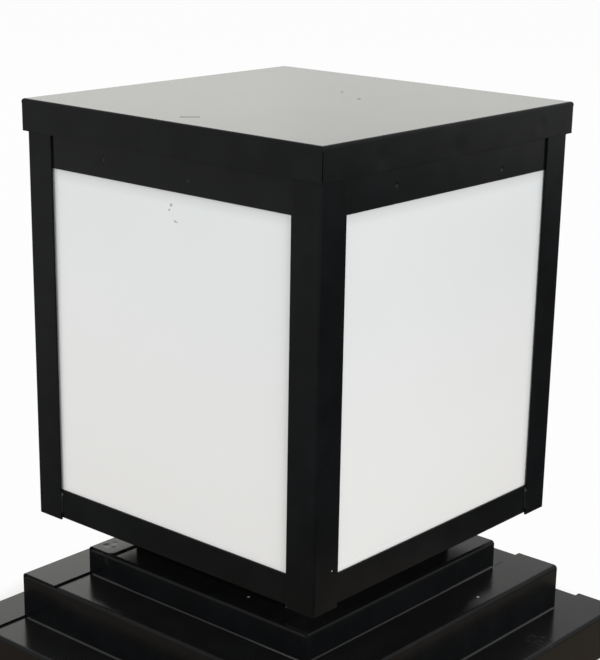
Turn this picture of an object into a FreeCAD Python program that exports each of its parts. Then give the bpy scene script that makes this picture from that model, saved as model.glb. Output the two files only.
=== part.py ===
"""A square lantern on a stepped base, for the top of a post or pillar.

Everything that shows is folded from thin steel sheet: a lid like a shoebox lid, four corner posts
with rails behind their legs, and a base of three steps, each made of four folded strips.
Four opal acrylic panes stand behind the frame round one screw-in lamp.

The origin is the middle of the base's foot, +Z is up and sizes are in millimetres.
Front is -Y, right is +X.
"""
import FreeCAD, Part
import math
import os

Vector = FreeCAD.Vector
UP = Vector(0, 0, 1)

# ---------------------------------------------------------------- driving dimensions
# Sheet and its folds
SHEET = 1.0
INNER_BEND = 1.0            # inside radius of the base's folds
FRAME_BEND = 0.4            # inside radius of the tighter folds of the posts, rails and lid
SEAM_GAP = 0.3              # between two sheet edges that meet

# Base steps, from the lowest up: outer width and visible height
LOW_STEP_WIDTH = 254.0
LOW_STEP_HEIGHT = 26.0
MID_STEP_WIDTH = 204.0
MID_STEP_HEIGHT = 25.0
TOP_STEP_WIDTH = 154.0
TOP_STEP_HEIGHT = 15.0
STEP_LAP = 8.0              # a step's top runs this far in under what stands on it
TONGUE_SET_BACK = 3.0       # the lapped part stops this far short of the skirts above
FLAP_ROUND = 4.0            # rounded free corner of the top step's flaps

# Base pan, the sheet that is screwed to the post
PAN_SHEET = 1.5
PAN_RECESS = 8.0            # its underside lies this far above the base's foot
PAN_LIP = 12.0
PAN_CORNER_RELIEF = 3.0
POST_HOLE_SPACING = 80.0
POST_HOLE_RADIUS = 3.0

# Cable grommet in the middle of the pan
CABLE_RADIUS = 4.5
GROMMET_WALL = 2.5
GROMMET_FLANGE = 3.0        # how far each flange stands out past the neck
GROMMET_FLANGE_HEIGHT = 1.6
BOSS_RISE = 3.0             # the pan is pressed up round the grommet, to keep it off the post
BOSS_LAND = 2.0             # flat ring between the grommet's flange and the boss's slope

# Neck between the base and the lantern
NECK_WIDTH = 120.0
NECK_HEIGHT = 21.4
NECK_FLANGE = 10.0

# Lantern frame
BODY_WIDTH = 190.0
BODY_HEIGHT = 216.0
POST_LEG = 17.0
POST_TOP_SET_DOWN = 0.5     # posts end this far under the rails that the lid rests on
POST_FOOT_CHAMFER = 2.2     # ground corner at the lower end of each post's fold
RAIL_RISE = 0.4             # rails end this far above the posts' lower ends
BOTTOM_RAIL_HEIGHT = 15.9
TOP_RAIL_HEIGHT = 31.4
RAIL_FLANGE = 12.0
RAIL_END_GAP = 0.5
FLOOR_SHEET = 1.2

# Panes and the corner strips that hold them
PANE_THICKNESS = 3.0
PANE_SIDE_GAP = 0.5
PANE_TOP_GAP = 0.4
RETAINER_LEG = 16.0

# Lid
LID_CLEARANCE = 0.7
LID_SKIRT = 15.8
LID_SLIT = 0.3              # open seam at each folded corner

# Hexagon screws: the same one fixes the bridge, lampholder, terminal block and corner strips
SCREW_RADIUS = 1.9
SCREW_LENGTH = 8.0
SCREW_FLATS = 6.0
SCREW_HEAD_HEIGHT = 2.4
SCREW_HOLE_CLEARANCE = 0.1

# Lampholder on its bridge
BRIDGE_WIDTH = 26.0
BRIDGE_SHEET = 1.5
HOLDER_RADIUS = 20.0
HOLDER_FLANGE_RADIUS = 28.5
HOLDER_FLANGE_HEIGHT = 3.5
HOLDER_HEIGHT = 40.0
HOLDER_SCREW_SPACING = 48.0
HOLDER_RIM = 1.5            # chamfer of the holder's top edge; the shell ends as far below it
SOCKET_DEPTH = 28.0
SHELL_WALL = 0.8
CONTACT_SHEET = 0.6
CONTACT_WIDTH = 8.0

# Lamp: a common screw-in bulb, sizes along its axis from the tip
CAP_RADIUS = 13.0
CAP_CLEARANCE = 0.35        # radial, between the cap and the socket's shell
TIP_RADIUS = 4.5
TIP_HEIGHT = 1.6
TIP_EASE = 0.5
CAP_FOOT = 5.0
CAP_FOOT_RADIUS = 9.75
CAP_TOP = 26.5
HOUSING_FOOT_RADIUS = 14.0
HOUSING_TOP = 64.0
HOUSING_WALL = 1.6
GLOBE_RADIUS = 30.0
LAMP_LENGTH = 108.0
GLOBE_WALL = 1.2
LED_BOARD = 1.6
LED_COUNT = 8
LED_SIZE = 3.0
LED_HEIGHT = 0.8
LED_CIRCLE = 15.0
BOARD_CLEARANCE = 0.25      # round the board, in the housing's rim

# Terminal block behind the lamp, and the leads from it
TERMINAL_DISTANCE = 70.0    # from the lamp's axis to the block's middle
TERMINAL_PITCH = 17.0
TERMINAL_DEPTH = 18.0
TERMINAL_BASE = 4.0
TERMINAL_HEIGHT = 13.0
TERMINAL_TOWER = 9.0
TERMINAL_WAY_HEIGHT = 6.0   # middle of each lead above the floor
INSERT_RADIUS = 2.3
INSERT_BORE = 1.6
CLAMP_SCREW_RADIUS = 1.3
CLAMP_FROM_END = 3.25       # each clamp screw's axis from the end of its tower
LEAD_RADIUS = 1.3
LEAD_ENTRY = 5.0            # how deep a lead runs into the lampholder

# Earth stud in the floor, right of the terminal block and clear of the neck
EARTH_FROM_NECK = 6.0
EARTH_Y = 40.0
STUD_RADIUS = 2.0
STUD_LENGTH = 12.0
NUT_FLATS = 7.0
NUT_HEIGHT = 3.2

# ---------------------------------------------------------------- derived places
LOW_TOP = LOW_STEP_HEIGHT
MID_TOP = LOW_TOP + MID_STEP_HEIGHT
TOP_TOP = MID_TOP + TOP_STEP_HEIGHT
FLOOR_UNDERSIDE = TOP_TOP + NECK_HEIGHT
FLOOR_TOP = FLOOR_UNDERSIDE + FLOOR_SHEET
RAIL_FOOT = FLOOR_UNDERSIDE - SHEET
BODY_FOOT = RAIL_FOOT - RAIL_RISE
BODY_TOP = BODY_FOOT + BODY_HEIGHT
LID_TOP = BODY_TOP + SHEET

BODY_HALF = BODY_WIDTH / 2
RAIL_FACE = BODY_HALF - SHEET               # outer face of the rails, behind the post legs
PANE_FACE = RAIL_FACE - SHEET
PANE_BACK = PANE_FACE - PANE_THICKNESS
PASSAGE_HALF = NECK_WIDTH / 2 - NECK_FLANGE
BRIDGE_TOP = FLOOR_TOP + BRIDGE_SHEET
FLANGE_MIDDLE = NECK_WIDTH / 2 - NECK_FLANGE / 2
SOCKET_FLOOR = BRIDGE_TOP + HOLDER_HEIGHT - SOCKET_DEPTH
SOCKET_RADIUS = CAP_RADIUS + CAP_CLEARANCE + SHELL_WALL
LAMP_FOOT = SOCKET_FLOOR + 2 * CONTACT_SHEET
GROMMET_NECK = CABLE_RADIUS + GROMMET_WALL
GROMMET_RIM = GROMMET_NECK + GROMMET_FLANGE
BOSS_UNDERSIDE = PAN_RECESS + BOSS_RISE
LEAD_HEIGHT = FLOOR_TOP + TERMINAL_WAY_HEIGHT
EARTH_X = NECK_WIDTH / 2 + EARTH_FROM_NECK
RETAINER_SCREW = RAIL_FACE - RAIL_FLANGE - SCREW_RADIUS - SHEET

SIDES = {"right": 0, "back": 90, "left": 180, "front": 270}
CORNERS = {"back_right": 0, "back_left": 90, "front_left": 180, "front_right": 270}
parts = {}


# ---------------------------------------------------------------- building blocks
def box(low, high):
    """Box between two opposite corners."""
    size = [high[i] - low[i] for i in range(3)]
    return Part.makeBox(*size, Vector(*low))


def block(half_x, half_y, bottom, top):
    """Box centred on the lantern's axis."""
    return box((-half_x, -half_y, bottom), (half_x, half_y, top))


def cylinder(radius, height, foot, axis=UP):
    return Part.makeCylinder(radius, height, Vector(*foot), axis)


def turned_about_z(shape, degrees):
    """Copy of a shape, turned about the lantern's axis."""
    copy = shape.copy()
    copy.rotate(Vector(0, 0, 0), UP, degrees)
    return copy


def fused(shapes):
    joined = shapes[0]
    for shape in shapes[1:]:
        joined = joined.fuse(shape)
    return joined.removeSplitter()


def extruded(points, direction):
    """Prism over a closed polygon of 3-D points."""
    corners = [Vector(*point) for point in points]
    return Part.Face(Part.makePolygon(corners + corners[:1])).extrude(direction)


def revolved(outline):
    """Solid of revolution about Z. Each entry is a (radius, z) point, or a pair of points:
    the middle and the end of an arc."""
    edges = []
    last = Vector(outline[0][0], 0, outline[0][1])
    for entry in outline[1:] + outline[:1]:
        if isinstance(entry[0], tuple):
            middle, end = [Vector(r, 0, z) for r, z in entry]
            edges.append(Part.Arc(last, middle, end).toShape())
        else:
            end = Vector(entry[0], 0, entry[1])
            edges.append(Part.makeLine(last, end))
        last = end
    face = Part.Face(Part.Wire(edges))
    return Part.makeSolid(face.revolve(Vector(0, 0, 0), UP, 360))


def folded_section(path, inner_bend):
    """Closed outline of a folded sheet: the path is one face of the sheet with its folds sharp,
    and the sheet lies to the left of it. Points are (u, v)."""
    near = []               # edges along the path's own face
    far = []                # edges along the other face
    start_near = Vector(path[0][0], path[0][1], 0)
    first = (Vector(path[1][0], path[1][1], 0) - start_near).normalize()
    normal = Vector(-first.y, first.x, 0)
    start_far = start_near + normal * SHEET
    for index in range(1, len(path) - 1):
        corner = Vector(path[index][0], path[index][1], 0)
        following = Vector(path[index + 1][0], path[index + 1][1], 0)
        turn_to = (following - corner).normalize()
        next_normal = Vector(-turn_to.y, turn_to.x, 0)
        side = 1 if first.cross(turn_to).z > 0 else -1
        near_radius = inner_bend + SHEET if side > 0 else inner_bend
        far_radius = near_radius - side * SHEET
        reach = near_radius * math.tan(first.getAngle(turn_to) / 2)
        enter = corner - first * reach
        leave = corner + turn_to * reach
        centre = enter + normal * (side * near_radius)
        outward = (enter - centre + leave - centre).normalize()
        near.append(Part.makeLine(start_near, enter))
        near.append(Part.Arc(enter, centre + outward * near_radius, leave).toShape())
        enter_far = enter + normal * SHEET
        leave_far = leave + next_normal * SHEET
        far.append(Part.makeLine(start_far, enter_far))
        far.append(Part.Arc(enter_far, centre + outward * far_radius, leave_far).toShape())
        start_near, start_far = leave, leave_far
        first, normal = turn_to, next_normal
    end_near = Vector(path[-1][0], path[-1][1], 0)
    end_far = end_near + normal * SHEET
    near.append(Part.makeLine(start_near, end_near))
    far.append(Part.makeLine(start_far, end_far))
    open_end = Vector(path[0][0], path[0][1], 0)
    start_cap = Part.makeLine(far[0].Vertexes[0].Point, open_end)
    end_cap = Part.makeLine(end_near, end_far)
    return Part.Face(Part.Wire(Part.__sortEdges__(near + far + [start_cap, end_cap])))


def folded_strip(path, half_length, inner_bend):
    """Folded strip for the right side: the section's u is the distance from the axis and v is
    the height, and the strip runs along Y."""
    section = folded_section(path, inner_bend)
    section.rotate(Vector(0, 0, 0), Vector(1, 0, 0), 90)
    section.translate(Vector(0, half_length, 0))
    return section.extrude(Vector(0, -2 * half_length, 0))


def mitred(strip, inner, outer, bottom, top):
    """Cuts both ends of a right-hand strip's flange along the square's diagonals."""
    reach = outer + SHEET
    corners = [(inner - SHEET, inner - SHEET - SEAM_GAP, bottom - SHEET)]
    corners.append((reach, reach - SEAM_GAP, bottom - SHEET))
    corners.append((inner - SHEET, reach - SEAM_GAP, bottom - SHEET))
    wedge = extruded(corners, Vector(0, 0, top - bottom + 2 * SHEET))
    return strip.cut(wedge).cut(wedge.mirror(Vector(0, 0, 0), Vector(0, 1, 0)))


def hexagon(flats, x, y, foot, height):
    """Upright hexagonal prism."""
    radius = flats / math.sqrt(3)
    corners = []
    for index in range(6):
        angle = math.radians(60 * index)
        corners.append((x + radius * math.cos(angle), y + radius * math.sin(angle), foot))
    return extruded(corners, Vector(0, 0, height))


def hexagon_screw(x, y, seat):
    """Screw standing in a sheet, its head's underside on the seat height."""
    head = hexagon(SCREW_FLATS, x, y, seat, SCREW_HEAD_HEIGHT)
    return fused([head, cylinder(SCREW_RADIUS, SCREW_LENGTH, (x, y, seat - SCREW_LENGTH))])


def screw_hole(x, y, bottom, top):
    radius = SCREW_RADIUS + SCREW_HOLE_CLEARANCE
    return cylinder(radius, top - bottom, (x, y, bottom))


def four_ways(x, y):
    return [(x, y), (-x, y), (-x, -y), (x, -y)]


# ---------------------------------------------------------------- stepped base
def step_strips(name, width, foot, top, inner_width, corner_round=0.0):
    """Four folded strips of one step. The left and right ones run the full width and lap on top
    of the front and back ones, which lie one sheet lower."""
    half = width / 2
    upper_half = inner_width / 2
    lapped = upper_half - STEP_LAP
    side_strip = folded_strip([(half, foot), (half, top), (lapped, top)], half, INNER_BEND)
    notch_low = top - SHEET - INNER_BEND
    notch = box((lapped - SHEET, upper_half - TONGUE_SET_BACK, notch_low),
                (upper_half, half + SHEET, top + SHEET))
    side_strip = side_strip.cut(notch).cut(notch.mirror(Vector(0, 0, 0), Vector(0, 1, 0)))
    if corner_round:
        for y in (-half, half):
            free = [edge for edge in side_strip.Edges
                    if abs(edge.CenterOfMass.x - upper_half) < SEAM_GAP
                    and abs(edge.CenterOfMass.y - y) < SEAM_GAP
                    and abs(edge.CenterOfMass.z - (top - SHEET / 2)) < SEAM_GAP]
            side_strip = side_strip.makeFillet(corner_round, free)

    end_foot = foot - SHEET if foot > 0 else foot
    end_top = top - SHEET
    end_half = half - SHEET
    end_path = [(half, end_foot), (half, end_top), (lapped, end_top)]
    end_strip = folded_strip(end_path, end_half, INNER_BEND)
    relief = box((lapped - SHEET, end_half - INNER_BEND, end_top - INNER_BEND),
                 (half + SHEET, half, top))
    end_strip = end_strip.cut(relief).cut(relief.mirror(Vector(0, 0, 0), Vector(0, 1, 0)))

    for side, strip in (("right", side_strip), ("left", side_strip),
                        ("front", end_strip), ("back", end_strip)):
        parts[f"{name}_step_{side}"] = turned_about_z(strip, SIDES[side])


def base_pan():
    """Tray inside the lowest step, with the screw holes for the post."""
    half = LOW_STEP_WIDTH / 2 - SHEET
    underside = PAN_RECESS
    inner_half = half - SHEET
    tray = block(half, half, underside, underside + PAN_LIP)
    lower = [edge for edge in tray.Edges if edge.BoundBox.ZMax < underside + SEAM_GAP]
    tray = tray.makeFillet(INNER_BEND + SHEET, lower)
    hollow = block(inner_half, inner_half, underside + PAN_SHEET, underside + PAN_LIP + SHEET)
    lower = [edge for edge in hollow.Edges if edge.BoundBox.ZMax < underside + PAN_SHEET + SEAM_GAP]
    tray = tray.cut(hollow.makeFillet(INNER_BEND, lower))
    near = half - PAN_CORNER_RELIEF
    relief = box((near, near, underside - SHEET), (half + SHEET, half + SHEET, LOW_TOP))
    for angle in CORNERS.values():
        tray = tray.cut(turned_about_z(relief, angle))
    for x, y in four_ways(POST_HOLE_SPACING / 2, POST_HOLE_SPACING / 2):
        tray = tray.cut(cylinder(POST_HOLE_RADIUS, 3 * PAN_SHEET, (x, y, underside - PAN_SHEET)))
    boss, boss_radius = pan_boss()
    middle = cylinder(boss_radius, 3 * PAN_SHEET, (0, 0, underside - PAN_SHEET))
    return fused([tray.cut(middle), boss])


def pan_boss():
    """Pressed-up middle of the pan with the grommet's hole, and its outer radius. Its slope is
    at 45 degrees and as thick as the sheet."""
    land = GROMMET_RIM + BOSS_LAND
    foot = land + BOSS_RISE
    ease = PAN_SHEET * math.tan(math.pi / 8)
    outline = [(GROMMET_NECK, BOSS_UNDERSIDE), (land, BOSS_UNDERSIDE), (foot, PAN_RECESS)]
    outline += [(foot + ease, PAN_RECESS), (foot + ease, PAN_RECESS + PAN_SHEET)]
    outline += [(land + ease, BOSS_UNDERSIDE + PAN_SHEET)]
    outline += [(GROMMET_NECK, BOSS_UNDERSIDE + PAN_SHEET)]
    return revolved(outline), foot + ease


def cable_grommet():
    """Rubber ring with a groove that holds the edge of the pan's hole."""
    low = BOSS_UNDERSIDE
    high = BOSS_UNDERSIDE + PAN_SHEET
    lip = GROMMET_FLANGE_HEIGHT
    outline = [(CABLE_RADIUS, low - lip), (GROMMET_RIM - lip, low - lip), (GROMMET_RIM, low)]
    outline += [(GROMMET_NECK, low), (GROMMET_NECK, high), (GROMMET_RIM, high)]
    outline += [(GROMMET_RIM - lip, high + lip), (CABLE_RADIUS, high + lip)]
    return revolved(outline)


# ---------------------------------------------------------------- neck and floor
def neck_halves():
    """Square neck of channel section, in two folded halves that meet at opposite corners."""
    half = NECK_WIDTH / 2
    ring = block(half, half, TOP_TOP, FLOOR_UNDERSIDE)
    uprights = [edge for edge in ring.Edges if edge.BoundBox.ZLength > NECK_HEIGHT / 2]
    ring = ring.makeFillet(INNER_BEND + SHEET, uprights)
    inner = half - SHEET
    hollow = block(inner, inner, TOP_TOP + SHEET, FLOOR_UNDERSIDE - SHEET)
    uprights = [edge for edge in hollow.Edges if edge.BoundBox.ZLength > NECK_HEIGHT / 2]
    ring = ring.cut(hollow.makeFillet(INNER_BEND, uprights))
    ring = ring.cut(block(PASSAGE_HALF, PASSAGE_HALF, TOP_TOP - SHEET, FLOOR_UNDERSIDE + SHEET))
    for x, y in bridge_screw_places():
        ring = ring.cut(screw_hole(x, y, FLOOR_UNDERSIDE - 2 * SHEET, FLOOR_TOP))
    reach = 2 * NECK_WIDTH
    side = box((-reach, SEAM_GAP / 2, 0), (reach, reach, FLOOR_TOP + SHEET))
    side.rotate(Vector(0, 0, 0), UP, -45)
    return {"neck_back_right": ring.common(side),
            "neck_front_left": ring.common(turned_about_z(side, 180))}


def bridge_screw_places():
    return [(-FLANGE_MIDDLE, 0), (FLANGE_MIDDLE, 0)]


def holder_screw_places():
    return [(-HOLDER_SCREW_SPACING / 2, 0), (HOLDER_SCREW_SPACING / 2, 0)]


def retainer_screw_places():
    return four_ways(RETAINER_SCREW, RETAINER_SCREW)


def body_floor():
    """Plate on the rails' flanges and the neck, open over the neck's passage."""
    half = PANE_FACE - FRAME_BEND
    plate = block(half, half, FLOOR_UNDERSIDE, FLOOR_TOP)
    plate = plate.cut(block(PASSAGE_HALF, PASSAGE_HALF, 0, BODY_TOP))
    below = FLOOR_UNDERSIDE - SHEET
    above = FLOOR_TOP + SHEET
    for x, y in bridge_screw_places() + retainer_screw_places() + [terminal_screw_place()]:
        plate = plate.cut(screw_hole(x, y, below, above))
    return plate.cut(cylinder(STUD_RADIUS, above - below, (EARTH_X, EARTH_Y, below)))


# ---------------------------------------------------------------- frame, panes and lid
def corner_posts():
    path = [(BODY_HALF, BODY_HALF - POST_LEG), (BODY_HALF, BODY_HALF)]
    path.append((BODY_HALF - POST_LEG, BODY_HALF))
    post = folded_section(path, FRAME_BEND).extrude(Vector(0, 0, BODY_HEIGHT - POST_TOP_SET_DOWN))
    post.translate(Vector(0, 0, BODY_FOOT))
    cut = POST_FOOT_CHAMFER
    tip = [(BODY_HALF + cut, BODY_HALF + cut, BODY_FOOT - SHEET)]
    tip.append((BODY_HALF - 2 * cut, BODY_HALF + cut, BODY_FOOT - SHEET))
    tip.append((BODY_HALF + cut, BODY_HALF - 2 * cut, BODY_FOOT - SHEET))
    base = Part.Face(Part.makePolygon([Vector(*point) for point in tip + tip[:1]]))
    apex = Part.Vertex(BODY_HALF + cut, BODY_HALF + cut, BODY_FOOT + 2 * cut)
    post = post.cut(Part.makeSolid(pyramid(base, apex)))
    for corner, angle in CORNERS.items():
        parts[f"corner_post_{corner}"] = turned_about_z(post, angle)


def pyramid(base, apex):
    """Closed shell from a polygon's face to a point."""
    faces = [base]
    for edge in base.Edges:
        ends = [vertex.Point for vertex in edge.Vertexes]
        faces.append(Part.Face(Part.makePolygon([ends[0], ends[1], apex.Point, ends[0]])))
    return Part.makeShell(faces)


def rails():
    """Top and bottom rail of each side, with mitred flanges turned inward."""
    half_length = PANE_FACE - RAIL_END_GAP
    inner = RAIL_FACE - RAIL_FLANGE
    window_foot = RAIL_FOOT + BOTTOM_RAIL_HEIGHT
    window_top = BODY_TOP - TOP_RAIL_HEIGHT
    bottom = folded_strip([(inner, RAIL_FOOT), (RAIL_FACE, RAIL_FOOT), (RAIL_FACE, window_foot)],
                          half_length, FRAME_BEND)
    bottom = mitred(bottom, inner, RAIL_FACE, RAIL_FOOT, window_foot)
    top = folded_strip([(RAIL_FACE, window_top), (RAIL_FACE, BODY_TOP), (inner, BODY_TOP)],
                       half_length, FRAME_BEND)
    top = mitred(top, inner, RAIL_FACE, window_top, BODY_TOP)
    for side, angle in SIDES.items():
        parts[f"bottom_rail_{side}"] = turned_about_z(bottom, angle)
        parts[f"top_rail_{side}"] = turned_about_z(top, angle)


def panes():
    half_width = PANE_BACK - PANE_SIDE_GAP
    pane = box((PANE_BACK, -half_width, FLOOR_TOP),
               (PANE_FACE, half_width, BODY_TOP - SHEET - FRAME_BEND - PANE_TOP_GAP))
    for side, angle in SIDES.items():
        parts[f"pane_{side}"] = turned_about_z(pane, angle)


def pane_retainers():
    """Folded corner strips that press on the panes' upright edges, each with a foot."""
    face = PANE_BACK
    height = BODY_TOP - SHEET - FLOOR_TOP
    path = [(face, face - RETAINER_LEG), (face, face), (face - RETAINER_LEG, face)]
    strip = folded_section(path, INNER_BEND).extrude(Vector(0, 0, height))
    strip.translate(Vector(0, 0, FLOOR_TOP))
    near = face - RETAINER_LEG
    inner = face - SHEET
    foot = box((near, near, FLOOR_TOP), (inner, inner, FLOOR_TOP + SHEET))
    foot = foot.cut(cylinder(SCREW_RADIUS + SCREW_HOLE_CLEARANCE, 3 * SHEET,
                             (RETAINER_SCREW, RETAINER_SCREW, FLOOR_TOP - SHEET)))
    strip = fused([strip, foot])
    for corner, angle in CORNERS.items():
        parts[f"pane_retainer_{corner}"] = turned_about_z(strip, angle)


def lid_cover():
    """Folded cover whose corners are open seams."""
    inner = BODY_HALF + LID_CLEARANCE
    outer = inner + SHEET
    foot = LID_TOP - LID_SKIRT
    shell = block(outer, outer, foot, LID_TOP)
    upper = [edge for edge in shell.Edges if edge.BoundBox.ZMin > LID_TOP - SEAM_GAP]
    shell = shell.makeFillet(FRAME_BEND + SHEET, upper)
    hollow = block(inner, inner, foot - SHEET, BODY_TOP)
    upper = [edge for edge in hollow.Edges if edge.BoundBox.ZMin > BODY_TOP - SEAM_GAP]
    shell = shell.cut(hollow.makeFillet(FRAME_BEND, upper))
    slit_top = LID_TOP - 2 * SHEET - FRAME_BEND
    slit = box((inner - SHEET, -LID_SLIT / 2, foot - SHEET), (2 * outer, LID_SLIT / 2, slit_top))
    slit.translate(Vector(inner * (math.sqrt(2) - 1), 0, 0))
    for angle in CORNERS.values():
        shell = shell.cut(turned_about_z(slit, angle + 45))
    return shell


# ---------------------------------------------------------------- lampholder and lamp
def holder_bridge():
    """Flat strap across the passage that carries the lampholder."""
    strap = block(NECK_WIDTH / 2, BRIDGE_WIDTH / 2, FLOOR_TOP, BRIDGE_TOP)
    uprights = [edge for edge in strap.Edges if edge.BoundBox.ZLength > SHEET]
    strap = strap.makeChamfer(SCREW_FLATS / 2, uprights)
    for x, y in bridge_screw_places() + holder_screw_places():
        strap = strap.cut(screw_hole(x, y, FLOOR_TOP - SHEET, BRIDGE_TOP + SHEET))
    return strap


def lampholder_body():
    """Porcelain body with a flange for two screws, a blind socket and two lead entries."""
    top = BRIDGE_TOP + HOLDER_HEIGHT
    flange_top = BRIDGE_TOP + HOLDER_FLANGE_HEIGHT
    outline = [(0, BRIDGE_TOP), (HOLDER_RADIUS, BRIDGE_TOP), (HOLDER_RADIUS, top - HOLDER_RIM)]
    outline += [(HOLDER_RADIUS - HOLDER_RIM, top), (SOCKET_RADIUS, top)]
    outline += [(SOCKET_RADIUS, SOCKET_FLOOR), (0, SOCKET_FLOOR)]
    flange = cylinder(HOLDER_FLANGE_RADIUS, HOLDER_FLANGE_HEIGHT, (0, 0, BRIDGE_TOP))
    sides = block(HOLDER_FLANGE_RADIUS + SHEET, BRIDGE_WIDTH / 2, BRIDGE_TOP, flange_top)
    body = fused([revolved(outline), flange.common(sides)])
    for x, y in holder_screw_places():
        body = body.cut(screw_hole(x, y, BRIDGE_TOP - SHEET, flange_top + SHEET))
    for x in terminal_places():
        entry = cylinder(LEAD_RADIUS + SCREW_HOLE_CLEARANCE, HOLDER_RADIUS,
                         (x, HOLDER_RADIUS - LEAD_ENTRY, LEAD_HEIGHT), Vector(0, 1, 0))
        body = body.cut(entry)
    return body


def lampholder_shell():
    """Metal sleeve in the socket that the lamp's cap screws into."""
    top = BRIDGE_TOP + HOLDER_HEIGHT - HOLDER_RIM
    foot = LAMP_FOOT + CAP_FOOT - SHELL_WALL
    bore = SOCKET_RADIUS - SHELL_WALL
    return revolved([(bore, foot), (SOCKET_RADIUS, foot), (SOCKET_RADIUS, top), (bore, top)])


def lampholder_contact():
    """Folded tongue on the socket's floor that the lamp's tip presses on."""
    foot = SOCKET_FLOOR
    middle = foot + CONTACT_SHEET
    reach = CAP_RADIUS - CONTACT_SHEET
    base = box((-reach, -CONTACT_WIDTH / 2, foot), (reach, CONTACT_WIDTH / 2, middle))
    button = cylinder(CONTACT_WIDTH / 2, CONTACT_SHEET, (0, 0, middle))
    return fused([base, button])


def lamp_parts():
    """Screw-in lamp: tip, insulator, cap, housing, board with its diodes, and globe."""
    low = LAMP_FOOT
    centre = LAMP_LENGTH - GLOBE_RADIUS
    seat = math.sqrt(GLOBE_RADIUS ** 2 - (HOUSING_TOP - centre) ** 2)
    lamp = {}

    lamp["lamp_tip"] = revolved([(0, 0), (TIP_RADIUS - TIP_EASE, 0), (TIP_RADIUS, TIP_EASE),
                                 (TIP_RADIUS, TIP_HEIGHT), (0, TIP_HEIGHT)])
    lamp["lamp_insulator"] = revolved([(0, TIP_HEIGHT), (TIP_RADIUS + TIP_EASE, TIP_HEIGHT),
                                       (CAP_FOOT_RADIUS, CAP_FOOT), (0, CAP_FOOT)])
    shoulder = CAP_FOOT + (CAP_RADIUS - CAP_FOOT_RADIUS) / 2
    lamp["lamp_cap"] = revolved([(0, CAP_FOOT), (CAP_FOOT_RADIUS, CAP_FOOT), (CAP_RADIUS, shoulder),
                                 (CAP_RADIUS, CAP_TOP), (0, CAP_TOP)])
    board_foot = HOUSING_TOP - LED_BOARD
    wall = HOUSING_WALL
    lamp["lamp_housing"] = revolved([(0, CAP_TOP), (HOUSING_FOOT_RADIUS, CAP_TOP),
                                     (HOUSING_FOOT_RADIUS, CAP_TOP + wall),
                                     (seat, HOUSING_TOP),
                                     (seat - wall, HOUSING_TOP), (seat - wall, board_foot),
                                     (0, board_foot)])
    board = cylinder(seat - wall - BOARD_CLEARANCE, LED_BOARD, (0, 0, board_foot))
    diode = box((LED_CIRCLE, -LED_SIZE / 2, HOUSING_TOP),
                (LED_CIRCLE + LED_SIZE, LED_SIZE / 2, HOUSING_TOP + LED_HEIGHT))
    diodes = [turned_about_z(diode, 360 * index / LED_COUNT) for index in range(LED_COUNT)]
    lamp["lamp_board"] = fused([board] + diodes)
    inner_radius = GLOBE_RADIUS - GLOBE_WALL
    inner_seat = math.sqrt(inner_radius ** 2 - (HOUSING_TOP - centre) ** 2)
    lamp["lamp_globe"] = revolved([(seat, HOUSING_TOP),
                                   ((GLOBE_RADIUS, centre), (0, LAMP_LENGTH)),
                                   (0, LAMP_LENGTH - GLOBE_WALL),
                                   ((inner_radius, centre), (inner_seat, HOUSING_TOP))])
    for name, shape in lamp.items():
        shape.translate(Vector(0, 0, low))
        parts[name] = shape


# ---------------------------------------------------------------- wiring
def terminal_places():
    """The two ways of the terminal block: live and neutral."""
    return (-TERMINAL_PITCH / 2, TERMINAL_PITCH / 2)


def terminal_screw_place():
    return (0.0, TERMINAL_DISTANCE)


def terminal_block():
    """Moulded block with a tower over each way and a screwed web between them."""
    y = TERMINAL_DISTANCE
    half_depth = TERMINAL_DEPTH / 2
    reach = TERMINAL_PITCH / 2
    body = box((-reach, y - half_depth, FLOOR_TOP), (reach, y + half_depth, FLOOR_TOP + TERMINAL_BASE))
    towers = []
    for x in terminal_places():
        low = (x - TERMINAL_TOWER / 2, y - half_depth, FLOOR_TOP)
        high = (x + TERMINAL_TOWER / 2, y + half_depth, FLOOR_TOP + TERMINAL_HEIGHT)
        towers.append(box(low, high))
    body = fused([body] + towers)
    body = body.cut(screw_hole(*terminal_screw_place(), FLOOR_UNDERSIDE, FLOOR_TOP + TERMINAL_HEIGHT))
    for x in terminal_places():
        channel = cylinder(INSERT_RADIUS, TERMINAL_DEPTH, (x, y - half_depth, LEAD_HEIGHT),
                           Vector(0, 1, 0))
        body = body.cut(channel)
        for end in clamp_places():
            body = body.cut(cylinder(CLAMP_SCREW_RADIUS, TERMINAL_HEIGHT, (x, end, LEAD_HEIGHT)))
    return body


def clamp_places():
    offset = TERMINAL_DEPTH / 2 - CLAMP_FROM_END
    return (TERMINAL_DISTANCE - offset, TERMINAL_DISTANCE + offset)


def terminal_inserts():
    """Brass tubes in the block."""
    tubes = []
    for x in terminal_places():
        foot = (x, TERMINAL_DISTANCE - TERMINAL_DEPTH / 2, LEAD_HEIGHT)
        tube = cylinder(INSERT_RADIUS, TERMINAL_DEPTH, foot, Vector(0, 1, 0))
        tubes.append(tube.cut(cylinder(INSERT_BORE, TERMINAL_DEPTH, foot, Vector(0, 1, 0))))
    return Part.makeCompound(tubes)


def terminal_screws():
    """Clamp screws in the towers, on the inserts."""
    screws = []
    top = FLOOR_TOP + TERMINAL_HEIGHT - SHEET
    foot = LEAD_HEIGHT + INSERT_RADIUS
    for x in terminal_places():
        for end in clamp_places():
            screws.append(cylinder(CLAMP_SCREW_RADIUS, top - foot, (x, end, foot)))
    return Part.makeCompound(screws)


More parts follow.
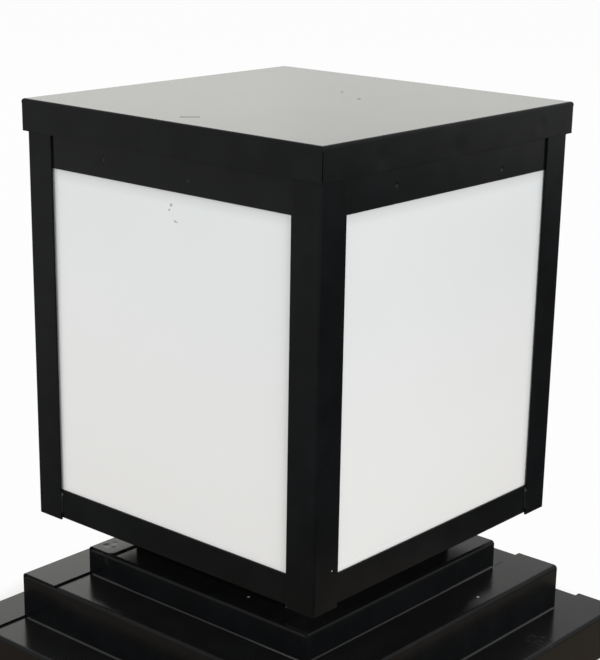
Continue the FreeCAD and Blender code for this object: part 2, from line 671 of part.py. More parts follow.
def leads():
    """Live and neutral leads from the terminal block to the lampholder."""
    inner_end = HOLDER_RADIUS - LEAD_ENTRY
    length = TERMINAL_DISTANCE - TERMINAL_DEPTH / 2 - inner_end
    for name, x in zip(("lead_live", "lead_neutral"), terminal_places()):
        parts[name] = cylinder(LEAD_RADIUS, length, (x, inner_end, LEAD_HEIGHT), Vector(0, 1, 0))


def earth_stud():
    """Hexagon-headed stud standing up through the floor."""
    head = hexagon(NUT_FLATS, EARTH_X, EARTH_Y, FLOOR_UNDERSIDE - NUT_HEIGHT, NUT_HEIGHT)
    shank = cylinder(STUD_RADIUS, STUD_LENGTH, (EARTH_X, EARTH_Y, FLOOR_UNDERSIDE))
    return fused([head, shank])


def earth_nut():
    nut = hexagon(NUT_FLATS, EARTH_X, EARTH_Y, FLOOR_TOP, NUT_HEIGHT)
    return nut.cut(cylinder(STUD_RADIUS, STUD_LENGTH, (EARTH_X, EARTH_Y, FLOOR_UNDERSIDE)))


def fixing_screws():
    """Every hexagon screw inside the lantern."""
    screws = [hexagon_screw(x, y, BRIDGE_TOP) for x, y in bridge_screw_places()]
    holder_seat = BRIDGE_TOP + HOLDER_FLANGE_HEIGHT
    screws += [hexagon_screw(x, y, holder_seat) for x, y in holder_screw_places()]
    screws += [hexagon_screw(x, y, FLOOR_TOP + SHEET) for x, y in retainer_screw_places()]
    screws.append(hexagon_screw(*terminal_screw_place(), FLOOR_TOP + TERMINAL_BASE))
    return Part.makeCompound(screws)


# ---------------------------------------------------------------- assembly
step_strips("low", LOW_STEP_WIDTH, 0.0, LOW_TOP, MID_STEP_WIDTH)
step_strips("mid", MID_STEP_WIDTH, LOW_TOP, MID_TOP, TOP_STEP_WIDTH)
step_strips("top", TOP_STEP_WIDTH, MID_TOP, TOP_TOP, NECK_WIDTH, FLAP_ROUND)
parts["base_pan"] = base_pan()
parts["cable_grommet"] = cable_grommet()
parts.update(neck_halves())
parts["body_floor"] = body_floor()
corner_posts()
rails()
panes()
pane_retainers()
parts["lid_cover"] = lid_cover()
parts["holder_bridge"] = holder_bridge()
parts["lampholder_body"] = lampholder_body()
parts["lampholder_shell"] = lampholder_shell()
parts["lampholder_contact"] = lampholder_contact()
lamp_parts()
parts["terminal_block"] = terminal_block()
parts["terminal_inserts"] = terminal_inserts()
parts["terminal_screws"] = terminal_screws()
leads()
parts["earth_stud"] = earth_stud()
parts["earth_nut"] = earth_nut()
parts["fixing_screws"] = fixing_screws()

os.makedirs("parts", exist_ok=True)
for name, shape in parts.items():
    shape.exportStep(f"parts/{name}.step")
print(len(parts), "nodes")
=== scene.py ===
# Looks of a square lantern on a stepped base: finishes, small fittings, studio and camera.
# Everything is in metres in the CAD frame: the origin is the middle of the base's foot,
# +Z is up, the front face looks towards -Y and the right face towards +X.

import math

import bmesh
import bpy
from mathutils import Matrix, Vector


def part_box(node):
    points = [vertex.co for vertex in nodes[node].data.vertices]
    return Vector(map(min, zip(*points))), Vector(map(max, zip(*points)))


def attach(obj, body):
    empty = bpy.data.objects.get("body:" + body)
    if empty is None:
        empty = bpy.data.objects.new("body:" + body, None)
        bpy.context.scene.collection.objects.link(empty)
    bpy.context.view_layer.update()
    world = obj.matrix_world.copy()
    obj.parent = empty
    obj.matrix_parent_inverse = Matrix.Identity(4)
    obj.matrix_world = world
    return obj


MM = 0.001
SHEET = 1.0 * MM

# Faces of the CAD pieces, in millimetres from the origin
LOW_STEP_TOP = 26
MID_STEP_TOP = 51
TOP_STEP_TOP = 66
PANE_FACE = 93
RAIL_FACE = 94
POST_FACE = 95
SKIRT_FACE = 96.7
LID_TOP = 303

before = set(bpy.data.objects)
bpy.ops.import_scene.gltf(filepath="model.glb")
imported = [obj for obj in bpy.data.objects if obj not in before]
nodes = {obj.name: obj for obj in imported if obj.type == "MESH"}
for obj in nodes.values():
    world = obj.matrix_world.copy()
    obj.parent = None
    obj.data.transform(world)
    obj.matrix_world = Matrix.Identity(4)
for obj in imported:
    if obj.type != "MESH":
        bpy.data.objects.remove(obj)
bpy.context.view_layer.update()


def at(x, y, z):
    """A place given in millimetres."""
    return (x * MM, y * MM, z * MM)


# ---------------------------------------------------------------- material tools
EDGE_SAMPLES = 4


class Finish:
    """A node material round one Principled shader. Places are the object's own coordinates."""

    def __init__(self, name, colour, roughness, **sockets):
        self.material = bpy.data.materials.new(name)
        self.material.use_nodes = True
        self.nodes = self.material.node_tree.nodes
        self.links = self.material.node_tree.links
        self.shader = self.nodes["Principled BSDF"]
        self.shader.inputs["Base Color"].default_value = (*colour, 1.0)
        self.shader.inputs["Roughness"].default_value = roughness
        for socket, value in sockets.items():
            self.shader.inputs[socket.replace("_", " ")].default_value = value
        self.places = self.nodes.new("ShaderNodeTexCoord").outputs["Object"]
        self.normal = None

    def link(self, value, socket):
        """Sets a socket to a number, a vector or another node's output."""
        if isinstance(value, bpy.types.NodeSocket):
            self.links.new(value, socket)
        else:
            socket.default_value = value

    def noise(self, scale, detail=3.0, roughness=0.5, stretch=(1, 1, 1)):
        """Noise from 0 to 1, scale features per metre."""
        place = self.nodes.new("ShaderNodeMapping")
        place.inputs["Scale"].default_value = stretch
        self.links.new(self.places, place.inputs["Vector"])
        texture = self.nodes.new("ShaderNodeTexNoise")
        self.links.new(place.outputs["Vector"], texture.inputs["Vector"])
        texture.inputs["Scale"].default_value = scale
        texture.inputs["Detail"].default_value = detail
        texture.inputs["Roughness"].default_value = roughness
        return texture.outputs["Fac"]

    def cells(self, scale):
        """Distance to the nearest of many scattered points, scale points per metre."""
        texture = self.nodes.new("ShaderNodeTexVoronoi")
        self.links.new(self.places, texture.inputs["Vector"])
        texture.inputs["Scale"].default_value = scale
        return texture.outputs["Distance"]

    def remap(self, value, low, high, to_low=0.0, to_high=1.0, smooth=False):
        """Value between low and high, taken to another range and clamped there."""
        node = self.nodes.new("ShaderNodeMapRange")
        node.interpolation_type = "SMOOTHSTEP" if smooth else "LINEAR"
        self.link(value, node.inputs["Value"])
        node.inputs["From Min"].default_value = low
        node.inputs["From Max"].default_value = high
        node.inputs["To Min"].default_value = to_low
        node.inputs["To Max"].default_value = to_high
        return node.outputs["Result"]

    def maths(self, operation, first, second=0.0):
        node = self.nodes.new("ShaderNodeMath")
        node.operation = operation
        self.link(first, node.inputs[0])
        self.link(second, node.inputs[1])
        return node.outputs[0]

    def mix(self, amount, first, second):
        """Colour mix of two colours or outputs."""
        node = self.nodes.new("ShaderNodeMix")
        node.data_type = "RGBA"
        self.link(amount, node.inputs["Factor"])
        for value, socket in ((first, node.inputs[6]), (second, node.inputs[7])):
            self.link((*value, 1.0) if isinstance(value, tuple) and len(value) == 3 else value, socket)
        return node.outputs[2]

    def distance(self, place):
        """Metres from a place."""
        node = self.nodes.new("ShaderNodeVectorMath")
        node.operation = "DISTANCE"
        self.links.new(self.places, node.inputs[0])
        node.inputs[1].default_value = place
        return node.outputs["Value"]

    def near(self, place, radius):
        """1 at a place, falling smoothly to 0 at the radius."""
        return self.remap(self.distance(place), 0.0, radius, 1.0, 0.0, smooth=True)

    def axis(self, name):
        """X, Y or Z of the place."""
        node = self.nodes.new("ShaderNodeSeparateXYZ")
        self.links.new(self.places, node.inputs[0])
        return node.outputs[name]

    def facing(self, direction):
        """How far the surface faces a direction, from -1 to 1."""
        geometry = self.nodes.new("ShaderNodeNewGeometry")
        node = self.nodes.new("ShaderNodeVectorMath")
        node.operation = "DOT_PRODUCT"
        self.links.new(geometry.outputs["Normal"], node.inputs[0])
        node.inputs[1].default_value = direction
        return node.outputs["Value"]

    def rounded_edges(self, radius):
        """Edges catch the light as if they had this radius."""
        node = self.nodes.new("ShaderNodeBevel")
        node.samples = EDGE_SAMPLES
        node.inputs["Radius"].default_value = radius
        self.normal = node.outputs["Normal"]
        self.links.new(self.normal, self.shader.inputs["Normal"])

    def relief(self, height, depth):
        """Bump of a real depth in metres, added to the bumps that are there."""
        node = self.nodes.new("ShaderNodeBump")
        self.link(height, node.inputs["Height"])
        node.inputs["Distance"].default_value = depth
        node.inputs["Strength"].default_value = 1.0
        if self.normal is not None:
            self.links.new(self.normal, node.inputs["Normal"])
        self.normal = node.outputs["Normal"]
        self.links.new(self.normal, self.shader.inputs["Normal"])

    def paint(self, output):
        self.links.new(output, self.shader.inputs["Base Color"])

    def rough(self, output):
        self.links.new(output, self.shader.inputs["Roughness"])


def dress(material, *names):
    """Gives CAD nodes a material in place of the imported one."""
    for name in names:
        slots = nodes[name].data.materials
        slots.clear()
        slots.append(material)


def named(start):
    """The CAD nodes whose names start like this."""
    return sorted(name for name in nodes if name.startswith(start))


# ---------------------------------------------------------------- powder coat
BLACK = (0.0034, 0.0037, 0.0041)
DUST = (0.16, 0.157, 0.136)
PALE = (0.75, 0.75, 0.72)
GREY = (0.06, 0.06, 0.062)
SPECK = (0.0, 0.0, 0.0)
INNER_BLACK = (0.012, 0.012, 0.013)
COAT_EDGE = 0.35 * MM
ORANGE_PEEL = 0.006 * MM
MATT = 0.95                         # roughness in the middle of a mark
MARK_EDGE = (0.4, 0.6)              # share of nearness over which a mark begins
SCRATCH_SPACING = 0.8               # between a scratch's marks, in their radii


def powder_coat(name, colour, roughness, level, dust=0.0, waves=0.3, patchy=0.08,
                dents=(), marks=(), smudges=()):
    """Satin powder coat on folded sheet, its slow waves in millimetres and its patches a share of
    the roughness. Dents are (place, radius, depth) in metres, marks are (place, radius, colour)
    and matt, and smudges are (place, radius)."""
    coat = Finish(name, colour, roughness, Specular_IOR_Level=level)
    gloss = coat.remap(coat.noise(38, 3), 0.3, 0.7, roughness * (1 - patchy), roughness * (1 + patchy))
    for place, radius, _ in marks:
        matt = coat.remap(coat.near(place, radius), *MARK_EDGE, 0.0, MATT)
        gloss = coat.maths("MAXIMUM", gloss, matt)
    coat.rough(gloss)
    coat.rounded_edges(COAT_EDGE)
    coat.relief(coat.noise(7, 1), waves * MM)
    for place, radius, depth in dents:
        coat.relief(coat.near(place, radius), depth)
    coat.relief(coat.noise(900, 2), ORANGE_PEEL)
    shade = coat.mix(coat.remap(coat.noise(60, 4), 0.35, 0.75), colour,
                     tuple(1.6 * channel for channel in colour))
    if dust:
        settled = coat.maths("MULTIPLY", coat.remap(coat.facing((0, 0, 1)), 0.9, 1.0),
                             coat.remap(coat.noise(140, 6, 0.7), 0.3, 0.8, 0.75 * dust, dust))
        grains = coat.remap(coat.cells(260), 0.02, 0.09, 0.35, 0.0)
        thin = coat.remap(coat.noise(25, 2), 0.5, 0.62)
        grains = coat.maths("MULTIPLY", coat.maths("MULTIPLY", grains, thin),
                            coat.remap(coat.facing((0, 0, 1)), 0.5, 1.0))
        shade = coat.mix(coat.maths("MAXIMUM", settled, grains), shade, DUST)
    for place, radius in smudges:
        wiped = coat.remap(coat.noise(260, 4, 0.6, stretch=(1, 2.5, 1)), 0.48, 0.66, 0.0, 0.3)
        shade = coat.mix(coat.maths("MULTIPLY", coat.near(place, radius), wiped), shade, DUST)
    for place, radius, tint in marks:
        shade = coat.mix(coat.remap(coat.near(place, radius), *MARK_EDGE), shade, tint)
    coat.paint(shade)
    return coat.material


def scratch(start, end, radius):
    """Marks along a short line."""
    start, end = Vector(start), Vector(end)
    count = math.ceil((end - start).length / (SCRATCH_SPACING * radius))
    return [(tuple(start.lerp(end, index / count)), radius, SPECK) for index in range(count + 1)]


def dress_lid():
    dents = [(at(SKIRT_FACE, -56.9, 293.4), 7 * MM, -0.10 * MM),
             (at(SKIRT_FACE, 0.4, 289.5), 9 * MM, -0.12 * MM),
             (at(SKIRT_FACE, 68.7, 294), 6 * MM, -0.10 * MM),
             (at(-SKIRT_FACE, 30, 292), 8 * MM, -0.10 * MM)]
    specks = [(at(-3.9, 36.6, LID_TOP), 1.6 * MM, SPECK), (at(18, 23.4, LID_TOP), 2.0 * MM, SPECK)]
    specks += scratch(at(-0.7, -82.7, LID_TOP), at(4.6, -77, LID_TOP), 1.7 * MM)
    coat = powder_coat("lid_coat", BLACK, 0.2, 0.08, dust=0.2, waves=0.05, patchy=0.015,
                       dents=dents, marks=specks)
    dress(coat, "lid_cover")


def dress_top_rails():
    welds = [at(-41.7, -RAIL_FACE, 279.3), at(14.2, -RAIL_FACE, 276.9),
             at(RAIL_FACE, -42, 279.1), at(RAIL_FACE, 40.2, 275.8),
             at(-RAIL_FACE, 38, 277.5), at(-RAIL_FACE, -40, 278),
             at(30, RAIL_FACE, 277), at(-44, RAIL_FACE, 278.4)]
    dents = [(place, 1.6 * MM, -0.15 * MM) for place in welds]
    marks = [(place, 0.55 * MM, GREY) for place in welds]
    dress(powder_coat("rail_coat", BLACK, 0.2, 0.09, dents=dents, marks=marks), *named("top_rail"))


def dress_frame():
    chips = [(at(POST_FACE, -82.3, 105.6), 0.6 * MM, PALE),
             (at(78.5, -POST_FACE, 86.6), 0.6 * MM, GREY)]
    dress(powder_coat("frame_coat", BLACK, 0.2, 0.07, marks=chips),
          *named("bottom_rail"), *named("corner_post"))


def dress_steps():
    front_top = TOP_STEP_TOP - 1    # the front strip lies a sheet below its neighbours' laps
    flecks = [(at(27, -64.7, front_top), 1.3 * MM, PALE),
              (at(93.9, 39.1, MID_STEP_TOP), 1.4 * MM, PALE)]
    flecks += scratch(at(76.8, 78, MID_STEP_TOP), at(76.9, 85, MID_STEP_TOP), 1.2 * MM)
    crumples = [(at(-70, -70.5, TOP_STEP_TOP), 3.4 * MM, -0.14 * MM),
                (at(-67.6, -68.6, TOP_STEP_TOP), 2.6 * MM, 0.12 * MM),
                (at(-73, -69, TOP_STEP_TOP), 2.4 * MM, 0.10 * MM),
                (at(-69.6, -65.3, TOP_STEP_TOP), 2.2 * MM, -0.10 * MM)]
    smudges = [(at(118.4, 62.8, LOW_STEP_TOP), 11 * MM), (at(92, 62, MID_STEP_TOP), 9 * MM),
               (at(-66, -68, TOP_STEP_TOP), 14 * MM), (at(-100, 20, MID_STEP_TOP), 12 * MM)]
    coat = powder_coat("step_coat", BLACK, 0.19, 0.1, dust=0.03, dents=crumples,
                       marks=flecks, smudges=smudges)
    dress(coat, *named("low_step"), *named("mid_step"), *named("top_step"), *named("neck"))


def dress_sheet_metal():
    dress_lid()
    dress_top_rails()
    dress_frame()
    dress_steps()
    dress(powder_coat("inner_coat", INNER_BLACK, 0.34, 0.4, dust=0.2), "base_pan", "body_floor")


# ---------------------------------------------------------------- panes
OPAL = (0.71, 0.735, 0.75)
# painted floor light: the pane is lighter and less blue low down
OPAL_LIT_LOW = (0.80, 0.80, 0.795)
OPAL_CLOUD = (0.78, 0.79, 0.79)
# painted shade at a pane's sides and top, which is also the colour of its scuffs
OPAL_SHADE_AND_SCUFF = (0.30, 0.30, 0.30)
OPAL_LIT_HEIGHTS = (0.27, 0.11)         # metres over which painted floor light takes a pane from the one colour to the low one
OPAL_SHADED_SIDE = (0.073, 0.0795)         # metres from the middle over which painted shade darkens its sides
OPAL_SHADED_TOP = (0.263, 0.272)           # heights over which painted shade darkens its top
SCUFFS = ((at(2.8, -PANE_FACE, 264), 1.5 * MM), (at(1.6, -PANE_FACE, 261.6), 1.0 * MM),
          (at(5.2, -PANE_FACE, 256.7), 1.1 * MM), (at(6.4, -PANE_FACE, 256.5), 1.1 * MM))


def opal_acrylic():
    """Polished opal sheet with painted shade just inside its frame, and painted floor light that makes
    it lighter and less blue towards the bottom. It has a few wiping marks, and small scuffs high on
    the front pane."""
    opal = Finish("opal_acrylic_sheet", OPAL, 0.08, Specular_IOR_Level=0.5)
    height = opal.axis("Z")
    # painted floor light: lighter and less blue towards the bottom
    body = opal.mix(opal.remap(height, *OPAL_LIT_HEIGHTS, smooth=True), OPAL, OPAL_LIT_LOW)
    cloud = opal.remap(opal.noise(9, 2), 0.3, 0.7, 0.0, 0.3)
    body = opal.mix(cloud, body, OPAL_CLOUD)
    # painted shade just inside the frame: the pane darkens towards its sides and its top
    side = opal.maths("MINIMUM", opal.maths("ABSOLUTE", opal.axis("X")),
                      opal.maths("ABSOLUTE", opal.axis("Y")))
    edge = opal.remap(side, *OPAL_SHADED_SIDE, 0.0, 0.2, smooth=True)
    top = opal.remap(height, *OPAL_SHADED_TOP, 0.0, 0.3, smooth=True)
    body = opal.mix(opal.maths("MAXIMUM", edge, top), body, OPAL_SHADE_AND_SCUFF)
    grain = opal.remap(opal.noise(1500, 3), 0.3, 0.6)
    for place, radius in SCUFFS:
        rubbed = opal.maths("MULTIPLY", opal.remap(opal.near(place, radius), 0.2, 0.6), grain)
        body = opal.mix(rubbed, body, OPAL_SHADE_AND_SCUFF)
    opal.paint(body)
    wiped = opal.noise(90, 5, 0.65, stretch=(1, 1, 0.25))
    opal.rough(opal.remap(wiped, 0.45, 0.75, 0.06, 0.2))
    opal.relief(opal.noise(14, 1), 0.12 * MM)
    return opal.material


# ---------------------------------------------------------------- fittings inside
def zinc_plate():
    zinc = Finish("zinc_plated", (0.60, 0.61, 0.62), 0.32, Metallic=1.0)
    zinc.rough(zinc.remap(zinc.noise(160, 4), 0.3, 0.7, 0.24, 0.44))
    zinc.paint(zinc.mix(zinc.noise(70, 4), (0.52, 0.53, 0.56), (0.68, 0.67, 0.62)))
    zinc.rounded_edges(0.2 * MM)
    zinc.relief(zinc.noise(700, 3), 0.004 * MM)
    return zinc.material


def brass():
    metal = Finish("stamped_brass", (0.66, 0.48, 0.20), 0.28, Metallic=1.0)
    metal.paint(metal.mix(metal.noise(120, 4), (0.58, 0.40, 0.16), (0.74, 0.56, 0.26)))
    metal.rough(metal.remap(metal.noise(300, 3), 0.3, 0.7, 0.2, 0.4))
    metal.rounded_edges(0.15 * MM)
    return metal.material


def nickel():
    metal = Finish("nickel_plated", (0.70, 0.69, 0.66), 0.2, Metallic=1.0)
    metal.rough(metal.remap(metal.noise(400, 3), 0.3, 0.7, 0.14, 0.32))
    metal.paint(metal.mix(metal.noise(90, 3), (0.64, 0.63, 0.61), (0.76, 0.75, 0.72)))
    return metal.material


def porcelain():
    glaze = Finish("glazed_porcelain", (0.80, 0.79, 0.75), 0.12, Coat_Weight=0.6, Coat_Roughness=0.05)
    glaze.paint(glaze.mix(glaze.noise(120, 4), (0.77, 0.76, 0.72), (0.83, 0.82, 0.79)))
    glaze.rounded_edges(0.5 * MM)
    glaze.relief(glaze.noise(90, 2), 0.05 * MM)
    return glaze.material


def moulded(name, colour, roughness, grain=0.01):
    """Moulded plastic or rubber with a fine spark-eroded grain, its depth in millimetres."""
    plastic = Finish(name, colour, roughness)
    darker = tuple(0.86 * channel for channel in colour)
    plastic.paint(plastic.mix(plastic.noise(150, 4), darker, colour))
    plastic.rough(plastic.remap(plastic.noise(500, 3), 0.3, 0.7, roughness * 0.8, roughness * 1.2))
    plastic.rounded_edges(0.25 * MM)
    plastic.relief(plastic.noise(1400, 2), grain * MM)
    return plastic.material


DIODE_HEIGHT = 0.8 * MM
PHOSPHOR = (0.80, 0.62, 0.10)
PHOSPHOR_START = (0.05 * MM, 0.1 * MM)


def led_board():
    """White lacquered board; what stands on it is the diodes' yellow phosphor."""
    board = Finish("led_board_lacquer", (0.82, 0.82, 0.80), 0.35)
    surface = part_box("lamp_board")[1].z - DIODE_HEIGHT
    low, high = PHOSPHOR_START
    raised = board.remap(board.axis("Z"), surface + low, surface + high)
    lacquer = board.mix(board.noise(200, 3), (0.78, 0.78, 0.76), (0.86, 0.86, 0.84))
    board.paint(board.mix(raised, lacquer, PHOSPHOR))
    board.relief(board.noise(900, 2), 0.01 * MM)
    return board.material


def dress_fittings():
    zinc = zinc_plate()
    dress(zinc, "holder_bridge", "fixing_screws", "earth_stud", "earth_nut", "terminal_screws",
          *named("pane_retainer"))
    dress(brass(), "lampholder_shell", "lampholder_contact", "terminal_inserts")
    dress(nickel(), "lamp_cap", "lamp_tip")
    dress(porcelain(), "lampholder_body")
    dress(moulded("grommet_rubber_black", (0.018, 0.018, 0.018), 0.6, 0.03), "cable_grommet")
    dress(moulded("vitreous_black", (0.012, 0.012, 0.014), 0.15, 0.002), "lamp_insulator")
    dress(moulded("housing_white", (0.80, 0.80, 0.78), 0.4), "lamp_housing")
    dress(moulded("globe_frosted", (0.84, 0.84, 0.81), 0.45, 0.006), "lamp_globe")
    dress(moulded("terminal_natural", (0.72, 0.71, 0.65), 0.3), "terminal_block")
    dress(moulded("lead_brown", (0.13, 0.055, 0.025), 0.35, 0.004), "lead_live")
    dress(moulded("lead_blue", (0.03, 0.12, 0.38), 0.35, 0.004), "lead_neutral")
    dress(led_board(), "lamp_board")


# ---------------------------------------------------------------- small pieces
BEAD_STEPS = 5
BEAD_TAPER = 3                      # length of a bead's tapered end, in its radii
BEAD_TIP = 0.15                     # size of a bead's very end, as a share of its radius
FOOT_BEAD = 0.9 * MM
LEG_EDGE = 78 * MM                  # from the middle of a side to where a post's leg ends


def new_piece(name, mesh, material, body):
    piece = bpy.data.objects.new(name, mesh)
    bpy.context.scene.collection.objects.link(piece)
    mesh.materials.append(material)
    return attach(piece, body)


def coat_bead(name, start, end, out, up, radius, material):
    """Run of coat in the corner between two sheets: a hollow quarter round with tapered ends.
    Start and end are on the corner line, and out and up lie in the two sheets."""
    taper = BEAD_TAPER * radius * (end - start).normalized()
    bm = bmesh.new()
    rings = []
    for place, size in ((start, BEAD_TIP), (start + taper, 1.0), (end - taper, 1.0), (end, BEAD_TIP)):
        ring = [bm.verts.new(place)]
        for index in range(BEAD_STEPS + 1):
            angle = math.pi / 2 * index / BEAD_STEPS
            reach = radius * size * (1 - math.sin(angle))
            rise = radius * size * (1 - math.cos(angle))
            ring.append(bm.verts.new(place + out * reach + up * rise))
        rings.append(ring)
    count = len(rings[0])
    for first, second in zip(rings, rings[1:]):
        for index in range(count):
            after = (index + 1) % count
            face = bm.faces.new((first[index], first[after], second[after], second[index]))
            face.smooth = True
    bm.faces.new(rings[0])
    bm.faces.new(rings[-1])
    bmesh.ops.recalc_face_normals(bm, faces=bm.faces)
    mesh = bpy.data.meshes.new(name)
    bm.to_mesh(mesh)
    bm.free()
    return new_piece(name, mesh, material, "root")


SIDES = {"right": Vector((1, 0, 0)), "back": Vector((0, 1, 0)),
         "left": Vector((-1, 0, 0)), "front": Vector((0, -1, 0))}
UP = Vector((0, 0, 1))


def reach_of(node, direction):
    """How far a node reaches along one of the level directions."""
    low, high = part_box(node)
    return max(low.dot(direction), high.dot(direction))


def step_beads(material):
    """A bead along the foot of each side of the two upper steps."""
    for step in ("mid", "top"):
        half = reach_of(f"{step}_step_right", SIDES["right"])
        for side, out in SIDES.items():
            strip = f"{step}_step_{side}"
            along = out.cross(UP)
            middle = out * reach_of(strip, out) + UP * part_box(strip)[0].z
            coat_bead(f"foot_bead_{step}_{side}", middle - along * half, middle + along * half,
                      out, UP, FOOT_BEAD, material)


def rail_beads(material):
    """Where the posts' legs lie on the bottom rails, the coat fills the corner."""
    for side, out in SIDES.items():
        rail = f"bottom_rail_{side}"
        low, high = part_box(rail)
        face = out * reach_of(rail, out)
        for end, hand in (("a", -1), ("b", 1)):
            along = out.cross(UP) * hand
            corner = face + along * LEG_EDGE
            coat_bead(f"rail_bead_{side}_{end}", corner + UP * (low.z + SHEET),
                      corner + UP * high.z, -along, out, SHEET, material)


# ---------------------------------------------------------------- studio
FLOOR_COLOUR = (0.66, 0.64, 0.60)
FLOOR_PATCHES = (0.68, 0.66, 0.62)
FLOOR_HALF = 30.0
WHITE_RING = (0.13, 0.19)           # metres from the middle over which the floor turns white
WHITE_MOST = 0.97
SHADE_MIDDLE = (0.40, 0.45, 0.0)    # round this place the floor is dark to gloss
SHADE_RING = (0.5, 1.75)            # metres from there over which it turns white to gloss
SHADE_LEVEL = 0.12
WARM_RING = (0.23, 0.31)            # metres from the middle over which its warm shade ends
WARM_SHADE = (0.50, 0.40, 0.29)
WARM_LEVEL = 0.9
WORLD_LIGHT = 0.38
LAMP_AIM = Vector((0, 0, 0.16))
WARM_WHITE = (1.0, 1.0, 0.93)


def studio_floor():
    """Pale floor that the lantern stands on. It keeps the lantern's shadow close by and is white
    farther off. Gloss sees another floor: a warm shade close by, dark round the shade's middle
    and slowly turning white from there."""
    mesh = bpy.data.meshes.new("studio_floor")
    half = FLOOR_HALF
    corners = [(-half, -half, 0), (half, -half, 0), (half, half, 0), (-half, half, 0)]
    mesh.from_pydata(corners, [], [(0, 1, 2, 3)])
    floor = bpy.data.objects.new("studio_floor", mesh)
    bpy.context.scene.collection.objects.link(floor)
    surface = Finish("studio_floor", FLOOR_COLOUR, 0.9, Specular_IOR_Level=0.0)
    surface.paint(surface.mix(surface.noise(3, 2), FLOOR_COLOUR, FLOOR_PATCHES))
    rays = surface.nodes.new("ShaderNodeLightPath")
    seen = surface.maths("MAXIMUM", rays.outputs["Is Camera Ray"], rays.outputs["Is Transmission Ray"])
    near = surface.remap(surface.distance((0, 0, 0)), *WHITE_RING, 0.0, WHITE_MOST)
    far = surface.remap(surface.distance(SHADE_MIDDLE), *SHADE_RING, SHADE_LEVEL, 1.0, smooth=True)
    warm = surface.remap(surface.distance((0, 0, 0)), *WARM_RING, 1.0, 0.0, smooth=True)
    warm = surface.maths("MULTIPLY", warm, rays.outputs["Is Glossy Ray"])
    whiteness = surface.maths("MAXIMUM", surface.maths("MULTIPLY", seen, near),
                              rays.outputs["Is Glossy Ray"])
    white = surface.nodes.new("ShaderNodeEmission")
    surface.link(surface.mix(warm, (1, 1, 1), WARM_SHADE), white.inputs["Color"])
    far = surface.maths("MAXIMUM", far, surface.maths("MULTIPLY", warm, WARM_LEVEL))
    surface.link(surface.maths("MAXIMUM", seen, far), white.inputs["Strength"])
    blend = surface.nodes.new("ShaderNodeMixShader")
    surface.link(whiteness, blend.inputs[0])
    surface.links.new(surface.shader.outputs[0], blend.inputs[1])
    surface.links.new(white.outputs[0], blend.inputs[2])
    output = surface.nodes["Material Output"]
    surface.links.new(blend.outputs[0], output.inputs["Surface"])
    floor.data.materials.append(surface.material)


def studio_world(light):
    """White where the camera, gloss and glass see it, and soft even light on everything."""
    world = bpy.data.worlds.new("studio_world")
    bpy.context.scene.world = world
    world.use_nodes = True
    tree = world.node_tree
    background = tree.nodes["Background"]
    background.inputs["Color"].default_value = (1, 1, 1, 1)
    rays = tree.nodes.new("ShaderNodeLightPath")
    seen = rays.outputs["Is Camera Ray"]
    for kind in ("Is Glossy Ray", "Is Transmission Ray"):
        either = tree.nodes.new("ShaderNodeMath")
        either.operation = "MAXIMUM"
        tree.links.new(seen, either.inputs[0])
        tree.links.new(rays.outputs[kind], either.inputs[1])
        seen = either.outputs[0]
    level = tree.nodes.new("ShaderNodeMapRange")
    tree.links.new(seen, level.inputs["Value"])
    level.inputs["To Min"].default_value = light
    level.inputs["To Max"].default_value = 1.0
    tree.links.new(level.outputs["Result"], background.inputs["Strength"])


def soft_lamp(name, place, width, height, watts, colour=(1, 1, 1)):
    """Soft box aimed at the lantern."""
    lamp = bpy.data.lights.new(name, "AREA")
    lamp.shape = "RECTANGLE"
    lamp.size = width
    lamp.size_y = height
    lamp.energy = watts
    lamp.color = colour
    holder = bpy.data.objects.new(name, lamp)
    bpy.context.scene.collection.objects.link(holder)
    holder.location = place
    holder.rotation_euler = (LAMP_AIM - Vector(place)).to_track_quat("-Z", "Y").to_euler()


# ---------------------------------------------------------------- camera
# Fitted to the object's corners in the photograph: where the camera looks from and its roll,
# its aim as offsets across and up from the middle of the lantern's foot, and its focal length
# and principal point in pixels of the 600 by 660 picture.
PICTURE = (600, 660)
AZIMUTH = math.radians(40.91)
ELEVATION = math.radians(17.57)
ROLL = math.radians(0.94)
LANTERN_FOOT = Vector((0, 0, 0.086))
ACROSS = 0.00166
ABOVE = 0.06831
DISTANCE = 0.89218
FOCAL_PIXELS = 1674.2
PRINCIPAL_POINT = (297.2, 380.3)
SENSOR = 36.0


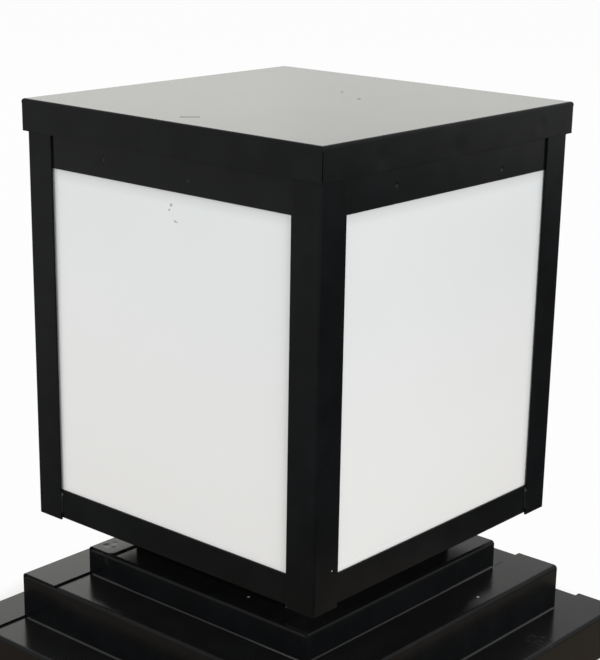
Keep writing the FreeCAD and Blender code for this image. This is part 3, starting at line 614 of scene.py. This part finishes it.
def photograph_camera():
    back = Vector((math.sin(AZIMUTH) * math.cos(ELEVATION),
                   -math.cos(AZIMUTH) * math.cos(ELEVATION), math.sin(ELEVATION)))
    level = Vector((math.cos(AZIMUTH), math.sin(AZIMUTH), 0))
    upright = back.cross(level)
    right = level * math.cos(ROLL) + upright * math.sin(ROLL)
    up = upright * math.cos(ROLL) - level * math.sin(ROLL)
    camera_data = bpy.data.cameras.new("photograph_camera")
    camera = bpy.data.objects.new("photograph_camera", camera_data)
    bpy.context.scene.collection.objects.link(camera)
    turn = Matrix((right, up, back)).transposed().to_4x4()
    place = LANTERN_FOOT + right * ACROSS + up * ABOVE + back * DISTANCE
    camera.matrix_world = Matrix.Translation(place) @ turn
    long_side = max(PICTURE)
    camera_data.sensor_width = SENSOR
    camera_data.lens = FOCAL_PIXELS * SENSOR / long_side
    camera_data.shift_x = (PICTURE[0] / 2 - PRINCIPAL_POINT[0]) / long_side
    camera_data.shift_y = (PRINCIPAL_POINT[1] - PICTURE[1] / 2) / long_side
    camera_data.clip_start = 0.01
    camera_data.clip_end = 100.0
    bpy.context.scene.camera = camera


# ---------------------------------------------------------------- assembly
dress_sheet_metal()
bead_coat = powder_coat("bead_coat", BLACK, 0.2, 0.3)
step_beads(bead_coat)
rail_beads(bead_coat)
dress(opal_acrylic(), *[f"pane_{side}" for side in SIDES])
dress_fittings()

studio_floor()
studio_world(WORLD_LIGHT)
soft_lamp("key_right", (1.9, -0.5, 0.72), width=1.3, height=1.3, watts=28)
soft_lamp("fill_front", (-0.3, -1.9, 0.72), width=1.3, height=1.3, watts=17)
soft_lamp("rear_high", (-1.2, 1.4, 2.2), width=1.2, height=1.2, watts=10)
soft_lamp("rear_low", (-1.64, 1.89, 0.78), width=3.4, height=0.36, watts=4.3, colour=WARM_WHITE)
soft_lamp("rear_left", (-2.28, 1.33, 1.3), width=1.8, height=0.6, watts=4.3, colour=WARM_WHITE)
photograph_camera()
bpy.context.scene.view_settings.view_transform = "Standard"
